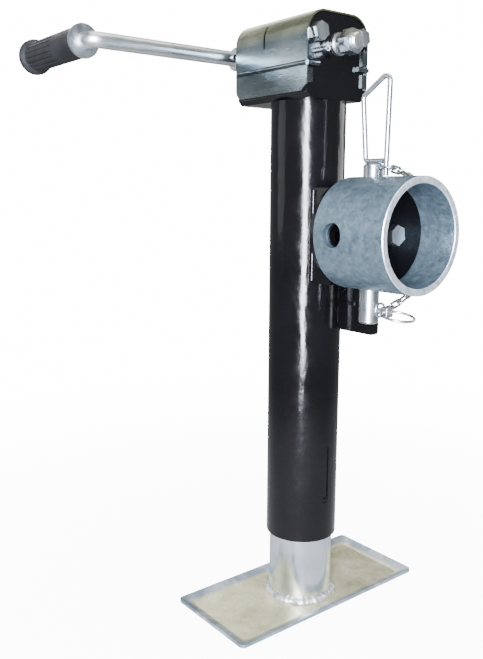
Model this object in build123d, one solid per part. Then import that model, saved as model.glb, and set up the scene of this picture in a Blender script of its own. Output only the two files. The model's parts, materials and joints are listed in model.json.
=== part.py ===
from build123d import *
import os
from math import ceil, cos, hypot, pi, sin

# Side-wind trailer tongue jack, in millimetres.
# Origin: centre of the foot plate's underside. +Z up the jack, -Y out of the pipe mount's open end,
# +X along the foot plate's long side. The crank's arm points to -X at rest.

# --- driving dimensions -------------------------------------------------------------------------
TUBE_OD = 63.5
TUBE_ID = 57.3
TUBE_BOTTOM = 63.5
HOUSING_BOTTOM = 444.0
KEY_Z = 100.6
KEY_REACH = 27.2

LEG_OD = 57.15
LEG_WALL = 4.2
LEG_TOP = 440.0
LEG_TRAVEL = 254.0
LEG_ID = LEG_OD - 2 * LEG_WALL
NUT_HEIGHT = 24.0
NUT_TOP = LEG_TOP - 2.0
RIVET_Z = NUT_TOP - NUT_HEIGHT / 2

FOOT_SHEET = 3.0
FOOT_FLOOR = (191.0, 74.0)
FOOT_CORNER = 2.5
RIM_CORNER = 4.5
LIP_RUN = 10.2
LIP_RISE = 4.3

SHAFT_Z = 486.4
SHAFT_D = 12.7
RUNNING_BORE = SHAFT_D + 0.15
SHAFT_FRONT = -55.5
BUSHING_OD = 17.0
HOUSING_HALF = 32.2
HOUSING_TOP = 509.3
HOUSING_REAR = 54.8
HOUSING_WALL = 3.0
SHOULDER = 17.0
BOLT_X = 23.3
BOLT_Z = 493.3
ROLL_PIN_X = -18.8
ROLL_PIN_Z = 480.4

COVER_SHEET = 1.5
COVER_HALF = 34.0
COVER_TOP = 511.1
COVER_BOTTOM = 448.9
COVER_FRONT = -33.8
COVER_REAR = 56.3
BEAD_Z = 469.6
BEAD_R = 2.0

PIPE_Z = 338.1
PIPE_OD = 88.9
PIPE_WALL = 5.5
PIPE_REAR = -54.8
PIPE_FRONT = -125.7
HUB_OD = 77.4
HUB_FRONT = -89.6
END_PLATE = 4.0
HUB_FLANGE_D = 84.0
HUB_FLANGE = 5.0
BRACKET_INNER = 12.0
BRACKET_SHEET = 6.0
BRACKET_FRONT = -54.0
BRACKET_BOTTOM = 254.0
BRACKET_TOP = 374.0
EAR_TOP = 278.0
EAR_FRONT = -70.0

PIN_Y = -75.0
PIN_D = 15.875
PIN_HOLE = 16.0
SIDE_HOLE = 19.0
PIN_BOTTOM = 266.7
PIN_TOP = 392.0
BAIL_WIRE = 4.2
BAIL_BASE = PIN_TOP + BAIL_WIRE / 2 + 0.02
BAIL_FRONT = PIN_Y - 12.6
BAIL_REAR = PIN_Y + 8.2
BAIL_TOP_FRONT = (PIN_Y - 14.0, 460.5)
BAIL_TOP_REAR = (PIN_Y + 12.8, 443.5)

LINCH_Z = 277.8
LINCH_D = 5.0
LINCH_HOLE = LINCH_D + 0.1
LINCH_HEAD = 8.0
LINCH_HEAD_BACK = PIN_Y - 14.5
RING_WIRE = 2.1
RING_OD = 28.0
RING_DROOP = 10.0

LINK_LENGTH = 13.3
LINK_WIDTH = 6.7
LINK_WIRE = 2.0
END_RING_OD = 12.6
CHAIN_SLACK = 0.35

ARM_Y = 72.2
ARM_HUB_D = 20.0
ARM_HUB_REACH = 24.0
ARM_PIN_X = -29.0
ARM_BEND = 9.5
GRIP_X = -164.4
GRIP_Z = SHAFT_Z
GRIP_START = 82.4
GRIP_END = 178.9
GRIP_D = 24.4
GRIP_LIP_D = 30.0
GRIP_RECESS = 6.0

SCREW_D = 19.05
SCREW_TOP_D = 15.875
SCREW_BOTTOM = 150.0
SCREW_TOP = 474.0
PINION_TEETH = 12
GEAR_TEETH = 18
PINION_R = 17.0
GEAR_R = 25.5
FACE_WIDTH = 9.0
RACE_OD = 42.0
RACE_SHEET = 2.0
BALL_D = 4.7625
BALL_CIRCLE = 32.0
BALLS = 16
RACE_LOW = HOUSING_BOTTOM + 4
GEAR_HUB_END = RACE_LOW + 2 * RACE_SHEET + BALL_D - SHAFT_Z

# Cross pins: two end points and a diameter.
GEAR_PIN = ((-14, 0, SHAFT_Z - 26.5), (14, 0, SHAFT_Z - 26.5), 4.0)
PINION_PIN = ((0, 33.0, SHAFT_Z - 11), (0, 33.0, SHAFT_Z + 11), 4.0)
STOP_PIN = ((-13, 0, SCREW_BOTTOM + 4), (13, 0, SCREW_BOTTOM + 4), 4.0)
APEX = Pos(0, 0, SHAFT_Z)


# --- helpers ------------------------------------------------------------------------------------
def rod(diameter, start, end):
    """A round bar between two points."""
    a, b = Vector(*start), Vector(*end)
    return Solid.make_cylinder(diameter / 2, (b - a).length, Plane(origin=a, z_dir=b - a))


def tube(outer, inner, start, end):
    """A round tube between two points."""
    return rod(outer, start, end) - rod(inner, start, end)


def block(low, high):
    """A box between its lowest and its highest corner."""
    size = [h - l for l, h in zip(low, high)]
    middle = [(h + l) / 2 for l, h in zip(low, high)]
    return Pos(*middle) * Box(*size)


def hexagon(across_flats, start, end, turn=0.0):
    """A hexagonal bar between two points."""
    a, b = Vector(*start), Vector(*end)
    plane = Plane(origin=a, z_dir=b - a)
    outline = plane * Rot(0, 0, turn) * RegularPolygon(across_flats / 2, 6, major_radius=False)
    return extrude(outline, amount=(b - a).length, dir=b - a)


def arch(half_width, bottom, top, shoulder, front, rear):
    """A block along Y with a round-shouldered top."""
    outline = Pos(0, (bottom + top) / 2) * Rectangle(2 * half_width, top - bottom)
    outline = fillet(outline.vertices().sort_by(Axis.Y)[-2:], shoulder)
    return Pos(0, rear, 0) * Rot(90, 0, 0) * extrude(outline, amount=rear - front)


def turned(points, axis_point, axis_dir):
    """A solid of revolution: points are (radius, distance along the axis)."""
    face = make_face(Polyline(*[(r, 0, h) for r, h in points], close=True))
    solid = revolve(face, Axis.Z, 360)
    return Plane(origin=axis_point, z_dir=axis_dir) * solid


def bent_wire(points, radii, diameter):
    """Round wire along straight runs with a rounded bend at each inner point."""
    path = FilletPolyline(*points, radius=radii)
    start = Plane(origin=path @ 0, z_dir=path % 0)
    return sweep(start * Circle(diameter / 2), path=path)


def stadium_ring(length, width, diameter):
    """A closed wire link in the XY plane, with its long side along X."""
    middle_r = (width - diameter) / 2
    half = (length - width) / 2
    ends = []
    for side in (-1, 1):
        ring = Solid.make_torus(middle_r, diameter / 2)
        keep = Pos(side * width, 0, 0) * Box(2 * width, 2 * width, 2 * diameter)
        ends.append(Pos(side * half, 0, 0) * (ring & keep))
    bars = [rod(diameter, (-half, y, 0), (half, y, 0)) for y in (-middle_r, middle_r)]
    return ends[0] + ends[1] + bars[0] + bars[1]


# --- the fixed body -----------------------------------------------------------------------------
def outer_tube():
    body = tube(TUBE_OD, TUBE_ID, (0, 0, TUBE_BOTTOM), (0, 0, HOUSING_BOTTOM))
    groove_depth = 1.0
    groove = Plane.XZ.offset(TUBE_OD / 2 - groove_depth) * Pos(0, 124) * SlotOverall(52, 5, rotation=90)
    body -= extrude(groove, amount=2 * groove_depth)
    return body - rod(3.0, (0, 0, KEY_Z), (0, -TUBE_OD, KEY_Z))


def key_screw():
    """Holds the leg from turning: its nose runs in the leg's keyway."""
    face = -(TUBE_OD / 2 - 1.0)
    shank = rod(3.0, (0, -KEY_REACH, KEY_Z), (0, face, KEY_Z))
    head = turned([(0, 0), (2.2, 0), (2.1, 0.7), (1.4, 1.2), (0, 1.4)], (0, face, KEY_Z), (0, -1, 0))
    return shank + head


def gear_housing():
    body = arch(HOUSING_HALF, HOUSING_BOTTOM, HOUSING_TOP, SHOULDER, -HOUSING_HALF, HOUSING_REAR)
    low_corners = [
        e for e in body.edges().filter_by(Axis.Y) if abs(e.center().Z - HOUSING_BOTTOM) < 0.1
    ]
    body = chamfer(low_corners, 3.5)
    inner = HOUSING_HALF - HOUSING_WALL
    low = (-inner, -inner, HOUSING_BOTTOM + 4)
    body -= block(low, (inner, HOUSING_REAR - HOUSING_WALL, HOUSING_TOP + 10))
    body -= rod(BUSHING_OD, (0, -HOUSING_HALF - 5, SHAFT_Z), (0, HOUSING_REAR + 5, SHAFT_Z))
    body -= rod(24.0, (0, 0, HOUSING_BOTTOM - 1), (0, 0, HOUSING_BOTTOM + 10))
    for x in (-BOLT_X, BOLT_X):
        body -= rod(8.0, (x, -40, BOLT_Z), (x, -20, BOLT_Z))
    return body - rod(4.4, (ROLL_PIN_X, -40, ROLL_PIN_Z), (ROLL_PIN_X, -20, ROLL_PIN_Z))


def housing_cover():
    """A sheet bent over the housing, with a bead, a slot and two tabs each side."""
    gap = COVER_HALF - COVER_SHEET
    shell = arch(COVER_HALF, COVER_BOTTOM, COVER_TOP, SHOULDER + COVER_SHEET, COVER_FRONT, COVER_REAR)
    for side in (-1, 1):
        shell += rod(
            2 * BEAD_R,
            (side * COVER_HALF, COVER_FRONT, BEAD_Z),
            (side * COVER_HALF, COVER_REAR - 3, BEAD_Z),
        )
    top = COVER_TOP - COVER_SHEET
    shell -= arch(gap, COVER_BOTTOM - 5, top, SHOULDER, COVER_FRONT - 5, COVER_REAR + 5)
    wide = 2 * COVER_HALF + 10
    middle = (COVER_FRONT + COVER_REAR) / 2
    side_view = Pos(middle, (COVER_BOTTOM + COVER_TOP) / 2) * Rectangle(
        COVER_REAR - COVER_FRONT, COVER_TOP - COVER_BOTTOM
    )
    low = side_view.vertices().sort_by(Axis.Y)[:2].sort_by(Axis.X)
    side_view = chamfer(low[0], 6.0)
    rear_low = side_view.vertices().group_by(Axis.X)[-1].sort_by(Axis.Y)[0]
    side_view = fillet(rear_low, 8.0)
    outline = Plane.YZ.offset(-wide / 2) * side_view
    shell &= extrude(outline, amount=wide)
    for side in (-1, 1):
        inside, outside = sorted((side * 24.0, side * 40.0))
        shell -= block((inside, 17.4, 486.0), (outside, 19.4, 504.0))
        reach, edge = sorted((side * 27.8, side * (COVER_HALF - 0.2)))
        for bottom, height in ((455.2, 10.5), (472.3, 11.4)):
            shell += block((reach, COVER_FRONT, bottom), (edge, -HOUSING_HALF - 0.1, bottom + height))
        tip, root = sorted((side * 22.0, side * COVER_HALF))
        finger = rod(2 * BEAD_R, (tip, COVER_FRONT, BEAD_Z), (root, COVER_FRONT, BEAD_Z))
        shell += finger & block((-40, -40, 460), (40, -HOUSING_HALF - 0.1, 480))
    return shell


def housing_bolts():
    bolts = []
    for x in (-BOLT_X, BOLT_X):
        head = hexagon(12.7, (x, -HOUSING_HALF, BOLT_Z), (x, -HOUSING_HALF - 7.4, BOLT_Z), 12)
        bolts.append(head + rod(7.94, (x, -HOUSING_HALF, BOLT_Z), (x, -24, BOLT_Z)))
    return Compound(children=bolts)


def front_roll_pin():
    start = (ROLL_PIN_X, -HOUSING_HALF + 3, ROLL_PIN_Z)
    end = (ROLL_PIN_X, -HOUSING_HALF - 8.9, ROLL_PIN_Z)
    return tube(4.36, 2.2, start, end)


def shaft_bushings():
    spans = ((-HOUSING_HALF, -HOUSING_HALF + 6), (HOUSING_REAR - 6, HOUSING_REAR + 1))
    rings = [tube(BUSHING_OD - 0.04, RUNNING_BORE, (0, a, SHAFT_Z), (0, b, SHAFT_Z)) for a, b in spans]
    return Compound(children=rings)


def bearing_race_lower():
    top = RACE_LOW + RACE_SHEET
    return tube(RACE_OD, SCREW_D + 1.2, (0, 0, RACE_LOW), (0, 0, top))


def thrust_balls():
    middle = RACE_LOW + RACE_SHEET + BALL_D / 2
    ball = Sphere(BALL_D / 2 - 0.02)
    places = PolarLocations(BALL_CIRCLE / 2, BALLS)
    return Compound(children=[Pos(0, 0, middle) * place * ball for place in places])


def swivel_bracket():
    """Two side plates from the tube to the hub's flange; the +X one has an ear under the pipe."""
    near, far = BRACKET_INNER, BRACKET_INNER + BRACKET_SHEET
    rear = BRACKET_FRONT + HUB_FLANGE
    right = block((near, rear, BRACKET_BOTTOM), (far, -10, BRACKET_TOP))
    right += block((near, EAR_FRONT, BRACKET_BOTTOM), (far, rear, EAR_TOP))
    front_edges = [e for e in right.edges().filter_by(Axis.X) if abs(e.center().Y - EAR_FRONT) < 0.1]
    right = fillet(front_edges, 3.0)
    left = block((-far, rear, EAR_TOP + 18), (-near, -10, BRACKET_TOP))
    tube_space = rod(TUBE_OD + 0.06, (0, 0, 200), (0, 0, 420))
    return Compound(children=[right - tube_space, left - tube_space])


def bracket_welds():
    """Beads where the side plates meet the tube, and one along the ear's root."""
    far = BRACKET_INNER + BRACKET_SHEET
    tube_space = rod(TUBE_OD + 0.06, (0, 0, 200), (0, 0, 420))
    tube_y = -(((TUBE_OD / 2) ** 2 - far**2) ** 0.5)
    beads = []
    for side, bottom in ((1, BRACKET_BOTTOM + 2), (-1, EAR_TOP + 20)):
        bead = rod(5.0, (side * far, tube_y - 1.0, bottom), (side * far, tube_y - 1.0, BRACKET_TOP - 2))
        plate_in, plate_out = sorted((side * (BRACKET_INNER - 1), side * far))
        beads.append(bead - tube_space - block((plate_in, -60, 200), (plate_out, 0, 420)))
    ear_bead = rod(3.0, (BRACKET_INNER, -32.5, EAR_TOP), (BRACKET_INNER, -48.0, EAR_TOP))
    beads.append(ear_bead - block((BRACKET_INNER, -60, 200), (40, 0, 420)) - tube_space)
    return Compound(children=beads)


def swivel_hub():
    """The stub that the pipe mount turns on, with cross holes a quarter turn apart."""
    body = rod(HUB_OD, (0, BRACKET_FRONT, PIPE_Z), (0, HUB_FRONT, PIPE_Z))
    body += rod(HUB_FLANGE_D, (0, BRACKET_FRONT, PIPE_Z), (0, BRACKET_FRONT + HUB_FLANGE, PIPE_Z))
    body -= rod(HUB_OD - 12, (0, BRACKET_FRONT, PIPE_Z), (0, HUB_FRONT + 5, PIPE_Z))
    reach = HUB_OD
    body -= rod(PIN_HOLE, (0, PIN_Y, PIPE_Z - reach), (0, PIN_Y, PIPE_Z + reach))
    body -= rod(PIN_HOLE, (-reach, PIN_Y, PIPE_Z), (reach, PIN_Y, PIPE_Z))
    return body - rod(9.6, (0, HUB_FRONT - 1, PIPE_Z), (0, HUB_FRONT + 6, PIPE_Z))


def hub_end_plate():
    plate = tube(HUB_OD, 10.0, (0, HUB_FRONT, PIPE_Z), (0, HUB_FRONT - END_PLATE, PIPE_Z))
    rim = plate.edges().filter_by(GeomType.CIRCLE).sort_by(Axis.Y)[:2].sort_by(SortBy.LENGTH)[-1]
    return fillet(rim, 1.2)


def hub_bolt():
    face = HUB_FRONT - END_PLATE
    head = hexagon(14.29, (0, face, PIPE_Z), (0, face - 9.0, PIPE_Z), 8)
    return head + rod(9.5, (0, face, PIPE_Z), (0, HUB_FRONT + 5.4, PIPE_Z))


def pipe_mount():
    body = tube(PIPE_OD, PIPE_OD - 2 * PIPE_WALL, (0, PIPE_REAR, PIPE_Z), (0, PIPE_FRONT, PIPE_Z))
    ends = body.edges().filter_by(GeomType.CIRCLE)
    body = chamfer(ends, 0.6)
    reach = PIPE_OD
    body -= rod(PIN_HOLE, (0, PIN_Y, PIPE_Z - reach), (0, PIN_Y, PIPE_Z + reach))
    return body - rod(SIDE_HOLE, (-reach, PIN_Y, PIPE_Z), (reach, PIN_Y, PIPE_Z))


# --- the crank ----------------------------------------------------------------------------------


def drive_shaft():
    shaft = rod(SHAFT_D, (0, SHAFT_FRONT, SHAFT_Z), (0, ARM_Y, SHAFT_Z))
    end = shaft.edges().filter_by(GeomType.CIRCLE).sort_by(Axis.Y)[0]
    shaft = chamfer(end, 1.2)
    shaft -= rod(ARM_HUB_D, (-40, ARM_Y, SHAFT_Z), (40, ARM_Y, SHAFT_Z))
    return shaft - pin_through(PINION_PIN)


def shaft_washer():
    return tube(17.8, SHAFT_D, (0, -HOUSING_HALF - 0.35, SHAFT_Z), (0, -35.5, SHAFT_Z))


def shaft_sleeve():
    return tube(15.2, SHAFT_D, (0, -35.5, SHAFT_Z), (0, -42.2, SHAFT_Z))


def shaft_nut():
    nut = hexagon(17.5, (0, -42.2, SHAFT_Z), (0, -52.6, SHAFT_Z), 20)
    outline = [(0, -1), (10.9, -1), (10.9, 9.2), (8.6, 10.4), (0, 10.4)]
    cone = turned(outline, (0, -42.2, SHAFT_Z), (0, -1, 0))
    return (nut & cone) - rod(SHAFT_D, (0, -40, SHAFT_Z), (0, -60, SHAFT_Z))


def crank_hub():
    """The cross eye that the shaft ends in; the arm is pressed into it."""
    body = tube(ARM_HUB_D, SHAFT_D, (-ARM_HUB_REACH, ARM_Y, SHAFT_Z), (13, ARM_Y, SHAFT_Z))
    return chamfer(body.edges().filter_by(GeomType.CIRCLE).group_by(SortBy.LENGTH)[-1], 1.2)


def crank_rod():
    path = FilletPolyline(
        (13, ARM_Y, SHAFT_Z),
        (GRIP_X, ARM_Y, GRIP_Z),
        (GRIP_X, GRIP_END - 1.0, GRIP_Z),
        radius=ARM_BEND,
    )
    start = Plane(origin=path @ 0, z_dir=path % 0)
    body = sweep(start * Circle(SHAFT_D / 2), path=path)
    return body - crank_pin_bar()


def crank_pin_bar():
    return rod(4.8, (ARM_PIN_X, ARM_Y - 8.2, SHAFT_Z), (ARM_PIN_X, ARM_Y + 8.2, SHAFT_Z))


def crank_stop_pin():
    """A roll pin beside the cross eye."""
    return crank_pin_bar() - rod(2.6, (ARM_PIN_X, ARM_Y - 9, SHAFT_Z), (ARM_PIN_X, ARM_Y + 9, SHAFT_Z))


def grip_washer():
    return tube(26.7, SHAFT_D, (GRIP_X, GRIP_START, GRIP_Z), (GRIP_X, GRIP_START + 2.0, GRIP_Z))


def grip_retainer():
    start = GRIP_END - GRIP_RECESS + 0.4
    return tube(18.0, SHAFT_D, (GRIP_X, start, GRIP_Z), (GRIP_X, start + 1.6, GRIP_Z))


def hand_grip():
    """A moulded grip that spins on the rod: plain collar, fluted body and end lip."""
    start = GRIP_START + 2.4
    length = GRIP_END - start
    body_r, lip_r = GRIP_D / 2, GRIP_LIP_D / 2
    outline = [
        (0, 0),
        (body_r - 1.2, 0),
        (body_r, 1.4),
        (body_r, length - 8.0),
        (lip_r - 0.6, length - 5.4),
        (lip_r, length - 4.4),
        (lip_r, length - 1.4),
        (lip_r - 1.4, length),
        (0, length),
    ]
    body = turned(outline, (GRIP_X, start, GRIP_Z), (0, 1, 0))
    flutes = 18
    for i in range(flutes):
        turn = 2 * pi * i / flutes
        x = GRIP_X + (body_r + 0.5) * cos(turn)
        z = GRIP_Z + (body_r + 0.5) * sin(turn)
        body -= rod(2.6, (x, start + 0.38 * length, z), (x, GRIP_END - 9.4, z))
    body -= rod(RUNNING_BORE, (GRIP_X, start - 1, GRIP_Z), (GRIP_X, GRIP_END + 1, GRIP_Z))
    return body - rod(20.0, (GRIP_X, GRIP_END - GRIP_RECESS, GRIP_Z), (GRIP_X, GRIP_END + 1, GRIP_Z))


# --- the bevel gears and the lead screw ---------------------------------------------------------
def bevel_teeth(teeth, pitch_r, apex_height):
    """Straight bevel teeth about Z, below an apex at the origin; every flank runs to the apex."""
    module = 2 * pitch_r / teeth
    cone = hypot(pitch_r, apex_height)
    run = Vector(pitch_r / cone, 0, -apex_height / cone)
    rise = Vector(apex_height / cone, 0, pitch_r / cone)
    root_half, tip_half = 0.30 * pi * module, 0.105 * pi * module
    section = [
        (-root_half, -1.3 * module),
        (root_half, -1.3 * module),
        (tip_half, 0.8 * module),
        (-tip_half, 0.8 * module),
    ]
    faces = []
    for scale in (1.0, (cone - FACE_WIDTH) / cone):
        corners = [(run * cone + rise * v + Vector(0, u, 0)) * scale for u, v in section]
        faces.append(make_face(Polyline(*corners, close=True)))
    tooth = loft(faces, ruled=True)
    return [Rot(0, 0, 360 * i / teeth) * tooth for i in range(teeth)]


def bevel_blank(pitch_r, apex_height, teeth, hub_r, web, hub_end, bore):
    """The gear's turned body, as (radius, height below the apex)."""
    cone = hypot(pitch_r, apex_height)
    root = 1.1 * 2 * pitch_r / teeth
    big = (pitch_r - root * apex_height / cone, -apex_height - root * pitch_r / cone)
    small = [c * (cone - FACE_WIDTH) / cone for c in big]
    outline = [
        (bore, hub_end),
        (hub_r, hub_end),
        (hub_r, web),
        (big[0], web),
        big,
        tuple(small),
        (bore, small[1]),
    ]
    return turned(outline, (0, 0, 0), (0, 0, 1))


def pin_through(pin):
    start, end, diameter = pin
    return rod(diameter, start, end)


def bevel_gear():
    body = bevel_blank(GEAR_R, PINION_R, GEAR_TEETH, 14.0, -24.0, GEAR_HUB_END, SCREW_TOP_D / 2)
    for tooth in bevel_teeth(GEAR_TEETH, GEAR_R, PINION_R):
        body += tooth
    return APEX * body - pin_through(GEAR_PIN)


def bevel_pinion():
    body = bevel_blank(PINION_R, GEAR_R, PINION_TEETH, 11.0, -30.0, -36.0, SHAFT_D / 2)
    for tooth in bevel_teeth(PINION_TEETH, PINION_R, GEAR_R):
        body += tooth
    return APEX * Rot(90, 0, 0) * body - pin_through(PINION_PIN)


def lead_screw():
    shoulder = RACE_LOW + 2 * RACE_SHEET + BALL_D
    body = rod(SCREW_D, (0, 0, SCREW_BOTTOM), (0, 0, shoulder - 0.6))
    body += rod(SCREW_TOP_D, (0, 0, shoulder - 0.6), (0, 0, SCREW_TOP))
    return body - pin_through(GEAR_PIN) - pin_through(STOP_PIN)


def gear_pin():
    return pin_through(GEAR_PIN)


def pinion_pin():
    return pin_through(PINION_PIN)


def bearing_race_upper():
    low = RACE_LOW + RACE_SHEET + BALL_D
    return tube(RACE_OD, SCREW_D, (0, 0, low), (0, 0, low + RACE_SHEET))


def screw_stop_washer():
    low = SCREW_BOTTOM + 6.0
    return tube(32.0, SCREW_D, (0, 0, low), (0, 0, low + 3))


def stop_pin():
    return pin_through(STOP_PIN)


# --- the leg ------------------------------------------------------------------------------------


def rivet_bars():
    outside = LEG_OD / 2
    bars = []
    for turn in (45, 135, 225, 315):
        x, y = cos(turn * pi / 180), sin(turn * pi / 180)
        bars.append(rod(6.0, (15 * x, 15 * y, RIVET_Z), (outside * x, outside * y, RIVET_Z)))
    return bars


def inner_tube():
    """The leg's tube, with its keyway up the front."""
    body = tube(LEG_OD, LEG_ID, (0, 0, FOOT_SHEET), (0, 0, LEG_TOP))
    key_low, key_high = KEY_Z - 4, KEY_Z + LEG_TRAVEL + 4
    body -= block((-1.8, -LEG_OD, key_low), (1.8, -LEG_OD / 2 + 2.2, key_high))
    for bar in rivet_bars():
        body -= bar
    return body


def screw_nut():
    body = tube(LEG_ID, SCREW_D + 0.16, (0, 0, NUT_TOP - NUT_HEIGHT), (0, 0, NUT_TOP))
    for bar in rivet_bars():
        body -= bar
    return body


def nut_rivets():
    inside = rod(LEG_OD - 0.8, (0, 0, RIVET_Z - 10), (0, 0, RIVET_Z + 10))
    return Compound(children=[bar & inside for bar in rivet_bars()])


def foot_plate():
    """A dished rectangular plate whose lips slope outward all round."""
    length, width = FOOT_FLOOR
    floor = RectangleRounded(length, width, FOOT_CORNER)
    rim = RectangleRounded(length + 2 * LIP_RUN, width + 2 * LIP_RUN, RIM_CORNER)
    dish = loft([floor, Pos(0, 0, LIP_RISE) * rim], ruled=True)
    body = dish + Pos(0, 0, LIP_RISE) * extrude(rim, amount=FOOT_SHEET)
    return body - Pos(0, 0, FOOT_SHEET) * dish


def foot_weld():
    leg_r = LEG_OD / 2
    section = [(0, 0), (6.5, 0), (5.4, 2.2), (3.0, 4.6), (0.8, 6.4), (0, 6.4)]
    outline = [(leg_r + run, height) for run, height in section]
    return turned(outline, (0, 0, FOOT_SHEET), (0, 0, 1))


# --- the pull pin and what hangs on it ----------------------------------------------------------


def pull_pin():
    body = rod(PIN_D, (0, PIN_Y, PIN_BOTTOM), (0, PIN_Y, PIN_TOP))
    ends = body.edges().filter_by(GeomType.CIRCLE)
    body = chamfer(ends, 1.2)
    body -= rod(LINCH_HOLE, (0, PIN_Y - 20, LINCH_Z), (0, PIN_Y + 20, LINCH_Z))
    return body


def pin_bail():
    """The wire pull handle: its base lies on the pin's top, its front leg's tip stops on the pipe."""
    points = [
        (0, BAIL_FRONT, PIPE_Z + PIPE_OD / 2 + 0.3),
        (0, *BAIL_TOP_FRONT),
        (0, *BAIL_TOP_REAR),
        (0, BAIL_REAR, BAIL_BASE),
        (0, BAIL_FRONT + 2.4, BAIL_BASE),
    ]
    return bent_wire(points, [4.6, 4.0, 3.0], BAIL_WIRE)


def linch_pin():
    """A round shank with a square head, which keeps the pull pin in."""
    tip = PIN_Y + PIN_D / 2 + 0.6
    shank = rod(LINCH_D, (0, tip, LINCH_Z), (0, LINCH_HEAD_BACK, LINCH_Z))
    shank = chamfer(shank.edges().filter_by(GeomType.CIRCLE).sort_by(Axis.Y)[-1], 1.2)
    half = LINCH_HEAD / 2
    low = (-half, LINCH_HEAD_BACK - LINCH_HEAD, LINCH_Z - half)
    head = block(low, (half, LINCH_HEAD_BACK, LINCH_Z + half))
    head = fillet(head.edges(), 1.2)
    y = LINCH_HEAD_BACK - half
    return shank + head - rod(RING_WIRE + 0.12, (-half - 1, y, LINCH_Z), (half + 1, y, LINCH_Z))


def linch_ring():
    """A spring wire ring whose ends turn into the linch pin's head."""
    pivot = Vector(0, LINCH_HEAD_BACK - LINCH_HEAD / 2, LINCH_Z)
    radius = (RING_OD - RING_WIRE) / 2
    reach = LINCH_HEAD / 2 + 0.4 + RING_WIRE / 2
    sag = (radius**2 - reach**2) ** 0.5
    arc = ThreePointArc((reach, 0), (0, -sag - radius), (-reach, 0))
    start = Plane(origin=arc @ 0, z_dir=arc % 0)
    ring = sweep(start * Circle(RING_WIRE / 2), path=arc)
    for side in (-1, 1):
        ring += rod(RING_WIRE, (side * (LINCH_HEAD / 2 - 3), 0, 0), (side * reach, 0, 0))
        ring += Pos(side * reach, 0, 0) * Sphere(RING_WIRE / 2)
    return Pos(pivot) * Rot(RING_DROOP, 0, 0) * ring


def chain_path(t):
    """The chain's centre line from the linch pin (t=0) round the pipe's +X side to the bail (t=1)."""
    turn = (-89 + 178 * t) * pi / 180
    rise = 0.6 * sin(turn) if turn > 0 else -9.8 * sin(turn)
    reach = PIPE_OD / 2 + 5.4 + rise
    y = LINCH_HEAD_BACK + 3.3 - 10.0 * sin(pi * t) ** 2 - 3.3 * t
    return Vector(reach * cos(turn), y, PIPE_Z + reach * sin(turn))


def chain_joints():
    """Evenly spaced points along the path where neighbouring links hook into each other."""
    steps = 2000
    points = [chain_path(i / steps) for i in range(steps + 1)]
    lengths = [0.0]
    for a, b in zip(points, points[1:]):
        lengths.append(lengths[-1] + (b - a).length)
    link_pitch = LINK_LENGTH - 2 * LINK_WIRE - CHAIN_SLACK
    ring_reach = (END_RING_OD + LINK_LENGTH - link_pitch) / 2 - 2 * LINK_WIRE - CHAIN_SLACK
    span = lengths[-1] - 2 * ring_reach
    count = 2 * ceil(span / link_pitch / 2)
    joints = []
    for i in range(count + 1):
        at = ring_reach + span * i / count
        nearest = min(range(steps + 1), key=lambda k: abs(lengths[k] - at))
        joints.append(points[nearest])
    return joints


def retaining_chain():
    """Each link lies between two joints, a quarter turn from the one before it."""
    link = stadium_ring(LINK_LENGTH, LINK_WIDTH, LINK_WIRE)
    joints = chain_joints()
    links = []
    for i, (a, b) in enumerate(zip(joints, joints[1:])):
        middle = (a + b) / 2
        along = b - a
        out = Vector(middle.X, 0, middle.Z - PIPE_Z)
        edgewise = out.cross(along)
        frame = Plane(origin=middle, x_dir=along, z_dir=edgewise if i % 2 else edgewise.cross(along))
        links.append(frame * link)
    return Compound(children=links)


def chain_end_rings():
    """A ring round the linch pin's shank and a ring round the bail's front leg."""
    ring = Solid.make_torus((END_RING_OD - LINK_WIRE) / 2, LINK_WIRE / 2)
    lower = Pos(chain_path(0)) * Rot(90, 0, 0) * ring
    upper = Pos(chain_path(1)) * Rot(0, 6, 0) * ring
    return Compound(children=[lower, upper])


NODES = (
    outer_tube,
    key_screw,
    gear_housing,
    housing_cover,
    housing_bolts,
    front_roll_pin,
    shaft_bushings,
    bearing_race_lower,
    thrust_balls,
    swivel_bracket,
    bracket_welds,
    swivel_hub,
    hub_end_plate,
    hub_bolt,
    pipe_mount,
    drive_shaft,
    shaft_washer,
    shaft_sleeve,
    shaft_nut,
    crank_hub,
    crank_rod,
    crank_stop_pin,
    grip_washer,
    grip_retainer,
    hand_grip,
    bevel_gear,
    bevel_pinion,
    lead_screw,
    gear_pin,
    pinion_pin,
    bearing_race_upper,
    screw_stop_washer,
    stop_pin,
    inner_tube,
    screw_nut,
    nut_rivets,
    foot_plate,
    foot_weld,
    pull_pin,
    pin_bail,
    linch_pin,
    linch_ring,
    retaining_chain,
    chain_end_rings,
)

os.makedirs("parts", exist_ok=True)
for make in NODES:
    export_step(make(), f"parts/{make.__name__}.step")
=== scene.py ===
"""A side-wind trailer tongue jack: procedural finishes, a ragged weld bead, studio light and camera."""
import json
from math import cos, pi, radians, sin

import bmesh
import bpy
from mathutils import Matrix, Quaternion, Vector, noise


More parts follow.
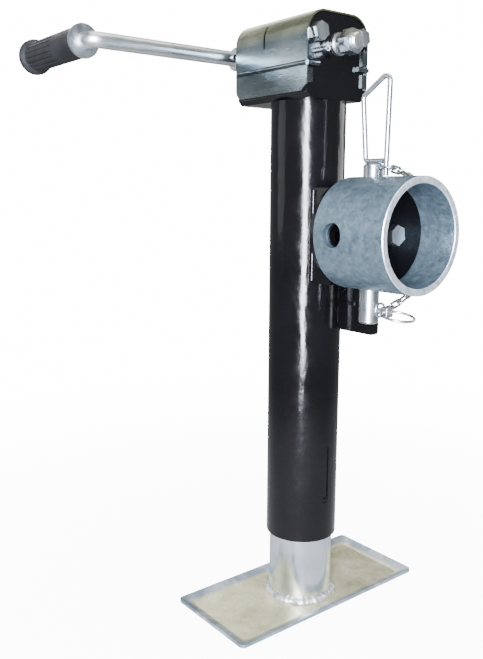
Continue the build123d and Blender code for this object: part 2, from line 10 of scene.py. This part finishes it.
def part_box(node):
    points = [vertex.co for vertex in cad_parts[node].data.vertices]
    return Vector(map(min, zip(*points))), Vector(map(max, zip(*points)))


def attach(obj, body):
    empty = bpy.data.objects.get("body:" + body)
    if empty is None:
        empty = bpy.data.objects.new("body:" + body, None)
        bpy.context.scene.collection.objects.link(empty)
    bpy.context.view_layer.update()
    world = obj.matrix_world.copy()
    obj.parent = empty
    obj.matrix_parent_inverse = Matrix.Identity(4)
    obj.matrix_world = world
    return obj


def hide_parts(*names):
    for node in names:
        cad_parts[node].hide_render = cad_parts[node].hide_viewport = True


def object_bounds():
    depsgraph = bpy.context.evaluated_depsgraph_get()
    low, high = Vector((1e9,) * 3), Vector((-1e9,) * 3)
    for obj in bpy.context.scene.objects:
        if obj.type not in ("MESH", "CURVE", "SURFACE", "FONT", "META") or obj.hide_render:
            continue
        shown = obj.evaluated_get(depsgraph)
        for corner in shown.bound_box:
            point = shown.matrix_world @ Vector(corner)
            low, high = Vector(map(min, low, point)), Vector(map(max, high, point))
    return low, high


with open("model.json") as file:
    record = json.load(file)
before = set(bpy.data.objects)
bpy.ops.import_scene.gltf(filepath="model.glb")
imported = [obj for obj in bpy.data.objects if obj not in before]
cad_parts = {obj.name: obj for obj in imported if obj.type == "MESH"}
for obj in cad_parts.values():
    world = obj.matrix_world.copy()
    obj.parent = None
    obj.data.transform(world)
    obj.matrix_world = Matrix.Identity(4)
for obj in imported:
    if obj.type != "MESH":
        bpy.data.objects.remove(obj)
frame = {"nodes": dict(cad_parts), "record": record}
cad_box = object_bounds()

# --- driving values, in metres and degrees --------------------------------------------------------
CAMERA_PLACE = (-0.4480, -0.4795, 0.3684)
CAMERA_AZIMUTH = -38.175
CAMERA_DOWN = 10.245
CAMERA_ROLL = 0.238
CAMERA_LENS = 40.85
CAMERA_SENSOR = 36.0

FLOOR_RADIUS = 1.2
FLOOR_DROP = 0.0002
FLOOR_OPACITY = 0.30
FLOOR_FADE_FROM = 0.05
FLOOR_FADE_TO = 0.96

BACKDROP_STRENGTH = 16.0
WORLD_COLOUR = (0.90, 0.95, 1.0)
WORLD_STRENGTH = 0.30

# name, place, (width, height), power in watts, colour
LIGHTS = (
    ("front_strip", (-0.86, -0.80, 0.42), (0.26, 0.90), 135.0, (0.84, 0.89, 1.0)),
    ("left_box", (-1.3, 1.1, 0.9), (0.9, 1.4), 5.5, (1.0, 1.0, 1.0)),
    ("right_box", (1.9, -0.3, 0.9), (1.1, 1.4), 15.0, (1.0, 1.0, 1.0)),
    ("rear_box", (0.4, 1.8, 1.3), (1.4, 1.0), 16.0, (1.0, 1.0, 1.0)),
    ("top_box", (0.1, -0.1, 1.9), (1.4, 1.4), 18.0, (1.0, 0.98, 0.94)),
)

WELD_STEPS = 220
WELD_ROWS = 9
WELD_RIPPLES = 34
WELD_SEED = 4.0

SLOT_OF = {s["node"]: s["material_slot"] for s in frame["record"]["subparts"]}


# --- node helpers ---------------------------------------------------------------------------------
class Finish:
    """One procedural material, built round a Principled shader."""

    def __init__(self, name, metallic, roughness, **sockets):
        self.material = bpy.data.materials.new(name)
        self.material.use_nodes = True
        self.tree = self.material.node_tree
        self.shader = self.tree.nodes["Principled BSDF"]
        self.shader.inputs["Metallic"].default_value = metallic
        self.shader.inputs["Roughness"].default_value = roughness
        for socket, value in sockets.items():
            self.shader.inputs[socket.replace("_", " ")].default_value = value
        self.place = self.tree.nodes.new("ShaderNodeTexCoord").outputs["Object"]

    def link(self, output, target):
        self.tree.links.new(output, target)

    def stretched(self, scale):
        """The object's own coordinates, scaled along each axis."""
        node = self.tree.nodes.new("ShaderNodeMapping")
        node.inputs["Scale"].default_value = scale
        self.link(self.place, node.inputs["Vector"])
        return node.outputs["Vector"]

    def noise(self, scale, detail=3.0, roughness=0.55, stretch=None, distortion=0.0):
        """Fractal noise over the object's own coordinates, stretched along an axis where asked."""
        node = self.tree.nodes.new("ShaderNodeTexNoise")
        node.inputs["Scale"].default_value = scale
        node.inputs["Detail"].default_value = detail
        node.inputs["Roughness"].default_value = roughness
        node.inputs["Distortion"].default_value = distortion
        self.link(self.stretched(stretch) if stretch else self.place, node.inputs["Vector"])
        return node.outputs["Fac"]

    def cells(self, scale):
        """Flat random greys, one for each crystal-like cell."""
        node = self.tree.nodes.new("ShaderNodeTexVoronoi")
        node.inputs["Scale"].default_value = scale
        self.link(self.place, node.inputs["Vector"])
        grey = self.tree.nodes.new("ShaderNodeRGBToBW")
        self.link(node.outputs["Color"], grey.inputs["Color"])
        return grey.outputs["Val"]

    def ramp(self, value, stops):
        """A colour ramp: stops are (position, colour)."""
        node = self.tree.nodes.new("ShaderNodeValToRGB")
        elements = node.color_ramp.elements
        while len(elements) < len(stops):
            elements.new(0.5)
        for element, (position, colour) in zip(elements, stops):
            element.position = position
            element.color = (*colour, 1.0)
        self.link(value, node.inputs["Fac"])
        return node.outputs["Color"]

    def span(self, value, low, high):
        """value from 0.3 to 0.7 becomes low to high."""
        node = self.tree.nodes.new("ShaderNodeMapRange")
        node.inputs["From Min"].default_value = 0.3
        node.inputs["From Max"].default_value = 0.7
        node.inputs["To Min"].default_value = low
        node.inputs["To Max"].default_value = high
        self.link(value, node.inputs["Value"])
        return node.outputs["Result"]

    def mixed(self, fac, a, b):
        """Colour a where fac is 0, colour b where it is 1."""
        node = self.tree.nodes.new("ShaderNodeMix")
        node.data_type = "RGBA"
        self.link(fac, node.inputs["Factor"])
        self.link(a, node.inputs["A"])
        self.link(b, node.inputs["B"])
        return node.outputs["Result"]

    def along(self, axis, start, end, low=0.0, high=1.0):
        """low to high between two places along one of the object's axes."""
        split = self.tree.nodes.new("ShaderNodeSeparateXYZ")
        self.link(self.place, split.inputs["Vector"])
        node = self.tree.nodes.new("ShaderNodeMapRange")
        node.inputs["From Min"].default_value = start
        node.inputs["From Max"].default_value = end
        node.inputs["To Min"].default_value = low
        node.inputs["To Max"].default_value = high
        self.link(split.outputs[axis], node.inputs["Value"])
        return node.outputs["Result"]

    def colour(self, output):
        self.link(output, self.shader.inputs["Base Color"])

    def rough(self, output):
        self.link(output, self.shader.inputs["Roughness"])

    def bump(self, *layers):
        """Layers are (value, depth in metres), finest last."""
        normal = None
        for value, depth in layers:
            node = self.tree.nodes.new("ShaderNodeBump")
            node.inputs["Strength"].default_value = 1.0
            node.inputs["Distance"].default_value = depth
            self.link(value, node.inputs["Height"])
            if normal:
                self.link(normal, node.inputs["Normal"])
            normal = node.outputs["Normal"]
        self.link(normal, self.shader.inputs["Normal"])


# --- finishes -------------------------------------------------------------------------------------
def black_paint():
    """Thick gloss enamel: orange peel and runs along the tube, dull with dust on the hub's end plate."""
    hub_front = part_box("swivel_hub")[0].y
    f = Finish("black_paint", 0.0, 0.16)
    gloss = f.along("Y", hub_front + 0.004, hub_front + 0.002, 0.30, 0.02)
    f.link(gloss, f.shader.inputs["Specular IOR Level"])
    patches = f.noise(14, 5.0)
    f.colour(f.ramp(patches, [(0.3, (0.0010, 0.0010, 0.0012)), (0.7, (0.0026, 0.0025, 0.0030))]))
    f.rough(f.span(f.noise(60, 5.0, 0.7), 0.08, 0.22))
    runs = f.noise(34, 3.0, 0.5, stretch=(1.0, 1.0, 0.3), distortion=0.6)
    f.bump((runs, 0.0011), (f.noise(150, 3.0), 0.00008), (f.noise(420, 2.0), 0.00004))
    return f.material


def plated(name, stops, roughness, streak, grain):
    """Plated or bare steel: clouded colour, fine rolling streaks, and a slight grain."""
    f = Finish(name, 1.0, sum(roughness) / 2)
    clouds = f.noise(26, 6.0, 0.62, distortion=0.8)
    f.colour(f.ramp(clouds, stops))
    lines = f.noise(190, 4.0, 0.7, stretch=streak)
    f.rough(f.span(lines, *roughness))
    f.bump((lines, 0.00006), (f.noise(700, 2.0), grain))
    return f.material


def cover_zinc():
    """Bent sheet: blue-grey sides clouded by handling, with the top and shoulders painted lighter and
    yellower as a painted highlight of the light from above.
    """
    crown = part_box("housing_cover")[1].z
    f = Finish("cover_zinc", 1.0, 0.28)
    clouds = f.noise(38, 3.0, 0.5, stretch=(1.0, 0.5, 1.0))
    side_stops = [(0.32, (0.07, 0.095, 0.11)), (0.52, (0.13, 0.16, 0.17)), (0.75, (0.24, 0.27, 0.27))]
    side = f.ramp(clouds, side_stops)
    # painted highlight: the top and shoulders are painted lighter and yellower than the sides, as if lit
    # from above
    top = f.ramp(clouds, [(0.30, (0.20, 0.22, 0.12)), (0.70, (0.62, 0.62, 0.40))])
    f.colour(f.mixed(f.along("Z", crown - 0.021, crown - 0.007), side, top))
    lines = f.noise(160, 3.0, 0.6, stretch=(1.0, 0.12, 1.0))
    f.rough(f.span(lines, 0.20, 0.30))
    f.bump((lines, 0.00002), (f.noise(90, 2.0), 0.00006))
    return f.material


def leg_zinc():
    stops = [(0.30, (0.60, 0.66, 0.71)), (0.52, (0.79, 0.84, 0.87)), (0.72, (0.90, 0.90, 0.84))]
    return plated("leg_zinc", stops, (0.15, 0.26), (1.0, 1.0, 0.25), 0.00002)


def crank_zinc():
    stops = [(0.30, (0.50, 0.55, 0.57)), (0.55, (0.74, 0.77, 0.78)), (0.72, (0.80, 0.76, 0.60))]
    return plated("crank_zinc", stops, (0.26, 0.42), (0.07, 1.0, 1.0), 0.00003)


def bright_zinc():
    stops = [(0.30, (0.34, 0.38, 0.43)), (0.52, (0.56, 0.60, 0.63)), (0.72, (0.66, 0.62, 0.50))]
    return plated("bright_zinc", stops, (0.22, 0.38), (1.0, 1.0, 0.2), 0.00003)


def foot_zinc():
    """Yellow floor, brushed and spattered, inside lips painted darker and bluer as painted shade."""
    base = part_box("foot_plate")[0].z
    f = Finish("foot_zinc", 0.8, 0.45)
    clouds = f.noise(26, 8.0, 0.70, distortion=0.8)
    floor_stops = [(0.28, (0.36, 0.34, 0.22)), (0.48, (0.62, 0.58, 0.36)), (0.70, (0.84, 0.81, 0.56))]
    # painted shade: the upturned lips are painted darker and bluer than the floor
    shaded_lip_stops = [(0.30, (0.12, 0.16, 0.20)), (0.50, (0.28, 0.34, 0.39)), (0.70, (0.62, 0.67, 0.68))]
    floor = f.ramp(clouds, floor_stops)
    shaded_lips = f.ramp(clouds, shaded_lip_stops)
    f.colour(f.mixed(f.along("Z", base + 0.0034, base + 0.0048), floor, shaded_lips))
    f.rough(f.span(f.noise(220, 4.0, 0.7), 0.26, 0.50))
    f.bump((f.noise(140, 5.0, 0.7), 0.0004), (f.noise(700, 3.0), 0.00012))
    return f.material


def galvanised():
    """Hot-dip zinc: crystal spangle under cloudy grey bloom, and a bright sawn end."""
    open_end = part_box("pipe_mount")[0].y
    f = Finish("galvanised", 0.8, 0.42)
    stops = [(0.30, (0.06, 0.09, 0.11)), (0.50, (0.11, 0.16, 0.19)), (0.70, (0.21, 0.27, 0.31))]
    clouds = f.ramp(f.noise(110, 8.0, 0.72, distortion=0.9), stops)
    spangle = f.ramp(f.cells(300), [(0.0, (0.06, 0.09, 0.12)), (1.0, (0.19, 0.25, 0.30))])
    bloom = f.mixed(f.noise(40, 4.0, 0.6), clouds, spangle)
    sawn = f.ramp(f.noise(240, 3.0), [(0.3, (0.42, 0.47, 0.52)), (0.7, (0.70, 0.74, 0.78))])
    f.colour(f.mixed(f.along("Y", open_end + 0.0009, open_end + 0.0004), bloom, sawn))
    f.rough(f.span(f.noise(120, 5.0, 0.7), 0.30, 0.52))
    f.bump((f.noise(80, 5.0, 0.6), 0.0004), (f.noise(420, 3.0), 0.00010))
    return f.material


def weld_metal():
    f = Finish("weld_metal", 0.8, 0.5)
    stops = [(0.30, (0.16, 0.16, 0.16)), (0.50, (0.48, 0.48, 0.46)), (0.70, (0.80, 0.80, 0.78))]
    f.colour(f.ramp(f.noise(150, 6.0, 0.7), stops))
    f.rough(f.span(f.noise(260, 4.0), 0.32, 0.62))
    f.bump((f.noise(170, 4.0, 0.7), 0.0008), (f.noise(600, 3.0), 0.00015))
    return f.material


def bare_steel():
    stops = [(0.30, (0.24, 0.23, 0.21)), (0.52, (0.40, 0.39, 0.37)), (0.72, (0.50, 0.49, 0.46))]
    return plated("bare_steel", stops, (0.24, 0.44), (1.0, 1.0, 1.0), 0.00003)


def cast_nut():
    f = Finish("cast_nut", 0.6, 0.6)
    f.colour(f.ramp(f.noise(90, 6.0), [(0.3, (0.07, 0.065, 0.06)), (0.7, (0.20, 0.19, 0.18))]))
    f.rough(f.span(f.noise(200, 3.0), 0.5, 0.75))
    f.bump((f.noise(400, 4.0, 0.7), 0.0004))
    return f.material


def grip_rubber():
    """Matt moulded rubber: fine sand texture, with dust paler than the rubber."""
    f = Finish("grip_rubber", 0.0, 0.55, Specular_IOR_Level=0.3)
    dust = f.noise(45, 6.0, 0.65)
    f.colour(f.ramp(dust, [(0.30, (0.004, 0.004, 0.005)), (0.72, (0.013, 0.013, 0.014))]))
    f.rough(f.span(f.noise(300, 3.0), 0.42, 0.66))
    f.bump((f.noise(900, 3.0, 0.7), 0.00012))
    return f.material


FINISHES = (
    black_paint,
    cover_zinc,
    leg_zinc,
    crank_zinc,
    bright_zinc,
    foot_zinc,
    galvanised,
    weld_metal,
    bare_steel,
    cast_nut,
    grip_rubber,
)
materials = {make.__name__: make() for make in FINISHES}

for name, obj in frame["nodes"].items():
    obj.data.materials.clear()
    obj.data.materials.append(materials[SLOT_OF[name]])


# --- pieces that stand for plain CAD solids -------------------------------------------------------
def ragged_ring(name, centre, inner, outer, height):
    """A weld bead round a post: overlapping ripples of uneven width and height."""
    mesh = bmesh.new()
    rows = []
    for i in range(WELD_STEPS):
        turn = 2 * pi * i / WELD_STEPS
        around = Vector((cos(turn), sin(turn), 0))
        lump = noise.noise(around * 2.6 + Vector((WELD_SEED, 0, 0)))
        fine = noise.noise(around * 11.0 + Vector((0, WELD_SEED, 3)))
        ripple = 0.5 + 0.5 * cos(WELD_RIPPLES * turn)
        reach = inner + (outer - inner) * min(1.0, 0.66 + 0.30 * lump + 0.16 * fine)
        top = height * min(1.0, 0.66 + 0.26 * lump + 0.12 * fine + 0.08 * ripple)
        row = []
        for j in range(WELD_ROWS):
            bow = pi / 2 * j / (WELD_ROWS - 1)
            radius = inner + (reach - inner) * cos(bow) ** 0.8
            row.append(mesh.verts.new(centre + around * radius + Vector((0, 0, top * sin(bow)))))
        rows.append(row)
    for i, row in enumerate(rows):
        following = rows[(i + 1) % WELD_STEPS]
        for j in range(WELD_ROWS - 1):
            mesh.faces.new((row[j], following[j], following[j + 1], row[j + 1]))
        mesh.faces.new((row[-1], following[-1], following[0], row[0]))
    return finished(name, mesh)


def finished(name, mesh):
    """A smooth-shaded object from a bmesh."""
    bmesh.ops.recalc_face_normals(mesh, faces=mesh.faces)
    data = bpy.data.meshes.new(name)
    mesh.to_mesh(data)
    mesh.free()
    for polygon in data.polygons:
        polygon.use_smooth = True
    obj = bpy.data.objects.new(name, data)
    bpy.context.scene.collection.objects.link(obj)
    return obj


def add_foot_weld():
    """The bead that joins the leg to its foot plate."""
    low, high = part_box("foot_weld")
    leg_low, leg_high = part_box("inner_tube")
    inner = (leg_high.x - leg_low.x) / 2
    centre = Vector(((low.x + high.x) / 2, (low.y + high.y) / 2, low.z))
    bead = ragged_ring("foot_weld_bead", centre, inner, (high.x - low.x) / 2, high.z - low.z)
    bead.data.materials.append(materials["weld_metal"])
    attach(bead, "leg")
    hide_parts("foot_weld")


add_foot_weld()


# --- floor, light and camera ----------------------------------------------------------------------
def add_floor():
    """A pale round floor that thins out to nothing towards its edge, and stays under the foot."""
    mesh = bmesh.new()
    bmesh.ops.create_circle(mesh, cap_ends=True, segments=96, radius=FLOOR_RADIUS)
    floor = finished("floor", mesh)
    floor.location.z = cad_box[0].z - FLOOR_DROP
    f = Finish("floor_white", 0.0, 0.9)
    f.colour(f.ramp(f.noise(3.0), [(0.3, (0.90, 0.90, 0.90)), (0.7, (0.93, 0.93, 0.93))]))
    distance = f.tree.nodes.new("ShaderNodeVectorMath")
    distance.operation = "LENGTH"
    f.link(f.place, distance.inputs[0])
    fade = f.tree.nodes.new("ShaderNodeMapRange")
    fade.interpolation_type = "SMOOTHERSTEP"
    fade.inputs["From Min"].default_value = FLOOR_FADE_FROM
    fade.inputs["From Max"].default_value = FLOOR_FADE_TO
    fade.inputs["To Min"].default_value = FLOOR_OPACITY
    fade.inputs["To Max"].default_value = 0.0
    f.link(distance.outputs["Value"], fade.inputs["Value"])
    f.link(fade.outputs["Result"], f.shader.inputs["Alpha"])
    floor.data.materials.append(f.material)
    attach(floor, "leg")


def add_world():
    """A white backdrop for the camera alone, and dim surroundings for everything that reflects."""
    world = bpy.data.worlds.new("studio")
    bpy.context.scene.world = world
    world.use_nodes = True
    tree = world.node_tree
    surroundings = tree.nodes["Background"]
    surroundings.inputs["Color"].default_value = (*WORLD_COLOUR, 1.0)
    surroundings.inputs["Strength"].default_value = WORLD_STRENGTH
    backdrop = tree.nodes.new("ShaderNodeBackground")
    backdrop.inputs["Color"].default_value = (1.0, 1.0, 1.0, 1.0)
    backdrop.inputs["Strength"].default_value = BACKDROP_STRENGTH
    seen = tree.nodes.new("ShaderNodeLightPath").outputs["Is Camera Ray"]
    mix = tree.nodes.new("ShaderNodeMixShader")
    tree.links.new(seen, mix.inputs["Fac"])
    tree.links.new(surroundings.outputs["Background"], mix.inputs[1])
    tree.links.new(backdrop.outputs["Background"], mix.inputs[2])
    tree.links.new(mix.outputs["Shader"], tree.nodes["World Output"].inputs["Surface"])


def add_area(name, place, target, size, power, colour):
    """A rectangular light at place, facing target; size is (width, height)."""
    light = bpy.data.lights.new(name, "AREA")
    light.shape = "RECTANGLE"
    light.size, light.size_y = size
    light.energy = power
    light.color = colour
    obj = bpy.data.objects.new(name, light)
    obj.location = place
    obj.rotation_mode = "QUATERNION"
    obj.rotation_quaternion = (Vector(target) - Vector(place)).to_track_quat("-Z", "Y")
    bpy.context.scene.collection.objects.link(obj)


def add_lights():
    middle = (cad_box[0] + cad_box[1]) / 2
    for name, place, size, power, colour in LIGHTS:
        add_area(name, place, middle, size, power, colour)


def add_camera():
    a, e = radians(CAMERA_AZIMUTH), radians(CAMERA_DOWN)
    back = Vector((sin(a) * cos(e), -cos(a) * cos(e), sin(e)))
    data = bpy.data.cameras.new("camera")
    data.lens = CAMERA_LENS
    data.sensor_width = CAMERA_SENSOR
    data.clip_start, data.clip_end = 0.01, 50.0
    camera = bpy.data.objects.new("camera", data)
    camera.location = CAMERA_PLACE
    camera.rotation_mode = "QUATERNION"
    roll = Quaternion((0, 0, 1), radians(CAMERA_ROLL))
    camera.rotation_quaternion = (-back).to_track_quat("-Z", "Y") @ roll
    bpy.context.scene.collection.objects.link(camera)
    bpy.context.scene.camera = camera


add_floor()
add_world()
add_lights()
add_camera()
